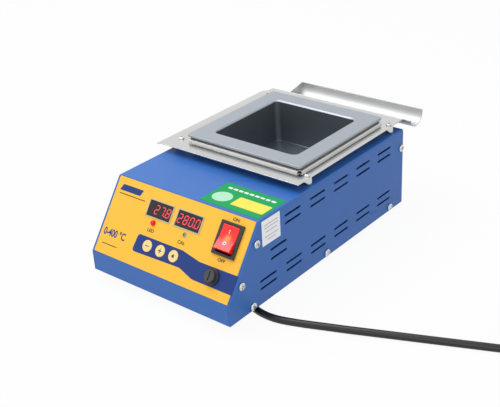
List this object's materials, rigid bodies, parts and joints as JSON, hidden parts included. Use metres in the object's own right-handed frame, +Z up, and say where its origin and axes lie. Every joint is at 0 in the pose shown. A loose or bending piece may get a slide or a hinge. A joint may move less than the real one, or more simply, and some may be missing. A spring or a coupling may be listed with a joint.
{
  "type": "solder pot",
  "caption": "Bench solder pot: square coated bath in a heater box, bright steel drip tray with gutter, blue sheet-steel case with a sloping control panel, rocker switch and mains cord.",
  "frame": {"origin": "on the bench, under the middle of the case, tray and gutter", "axes": "+X to the right of someone facing the control panel, +Y to the back, +Z up"},
  "size_m": [0.4458, 0.374, 0.1066],
  "materials": {
    "blue_paint": "satin",
    "screw_steel": "polished",
    "orange_overlay": "satin",
    "black_plastic": "satin",
    "display_filter": "gloss",
    "red_lens": "gloss",
    "cream_plastic": "satin",
    "board": "satin",
    "zinc_steel": "satin",
    "brass": "satin",
    "fuse_glass": "gloss",
    "bath_coating": "satin",
    "ceramic_fibre": "matte",
    "cast_aluminium": "satin",
    "stainless": "polished",
    "core_laminations": "satin",
    "black_rubber": "matte",
    "green_film": "satin",
    "white_film": "satin"
  },
  "bodies": {
    "case": {"cover": "blue_paint", "chassis": "blue_paint", "cover_screws": "screw_steel", "front_label": "orange_overlay", "left_display": "black_plastic", "right_display": "black_plastic", "display_windows": "display_filter", "status_led": "red_lens", "cal_trimmer": "board", "button_switches": "black_plastic", "control_board": "board", "board_pillars": "zinc_steel", "switch_housing": "black_plastic", "switch_terminals": "brass", "fuse_holder": "black_plastic", "fuse_nut": "black_plastic", "solder_bath": "bath_coating", "rim_gasket": "ceramic_fibre", "heater_block": "cast_aluminium", "heating_rods": "stainless", "temperature_probe": "zinc_steel", "insulation": "ceramic_fibre", "heater_box": "stainless", "box_pillars": "zinc_steel", "drip_tray": "stainless", "tray_screws": "screw_steel", "tray_nuts": "zinc_steel", "power_board": "board", "power_pillars": "zinc_steel", "transformer": "core_laminations", "heat_sink": "cast_aluminium", "triac": "black_plastic", "terminal_block": "black_plastic", "heater_terminals": "ceramic_fibre", "earth_stud": "brass", "rubber_feet": "black_rubber", "foot_screws": "zinc_steel", "foot_nuts": "zinc_steel", "cord_gland": "black_rubber", "gland_nut": "black_plastic", "power_cord": "black_rubber", "cord_coil": "black_rubber", "plug_lead": "black_rubber", "mains_plug": "black_rubber", "plug_pins": "brass", "green_label": "green_film", "white_label": "white_film"},
    "mains_rocker": {"mains_rocker": "red_lens"},
    "minus_button": {"minus_button": "cream_plastic"},
    "plus_button": {"plus_button": "cream_plastic"},
    "set_button": {"set_button": "cream_plastic"},
    "cal_screw": {"cal_screw": "zinc_steel"},
    "fuse_drawer": {"fuse_carrier": "brass", "fuse_link": "fuse_glass"},
    "fuse_cap": {"fuse_cap": "black_plastic"}
  },
  "joints": [
    {"name": "rocker_tilt", "type": "hinge", "parent": "case", "child": "mains_rocker", "pos_m": [0.06288, -0.11996, 0.07129], "axis": [1, 0, 0], "range_deg": [0, 20]},
    {"name": "minus_press", "type": "slide", "parent": "case", "child": "minus_button", "axis": [0, 0.804, -0.5946], "range_m": [0, 0.0005], "stiffness_N_per_m": 400},
    {"name": "plus_press", "type": "slide", "parent": "case", "child": "plus_button", "axis": [0, 0.804, -0.5946], "range_m": [0, 0.0005], "stiffness_N_per_m": 400},
    {"name": "set_press", "type": "slide", "parent": "case", "child": "set_button", "axis": [0, 0.804, -0.5946], "range_m": [0, 0.0005], "stiffness_N_per_m": 400},
    {"name": "cal_turn", "type": "hinge", "parent": "case", "child": "cal_screw", "pos_m": [0.01568, -0.1271, 0.065], "axis": [0, -0.804, 0.5946], "range_deg": [-105, 105]},
    {"name": "fuse_draw", "type": "slide", "parent": "case", "child": "fuse_drawer", "axis": [0, -0.804, 0.5946], "range_m": [0, 0.034]},
    {"name": "fuse_cap_turn", "type": "hinge", "parent": "fuse_drawer", "child": "fuse_cap", "pos_m": [0.05938, -0.14226, 0.0445], "axis": [0, -0.804, 0.5946], "range_deg": [0, 75]}
  ]
}
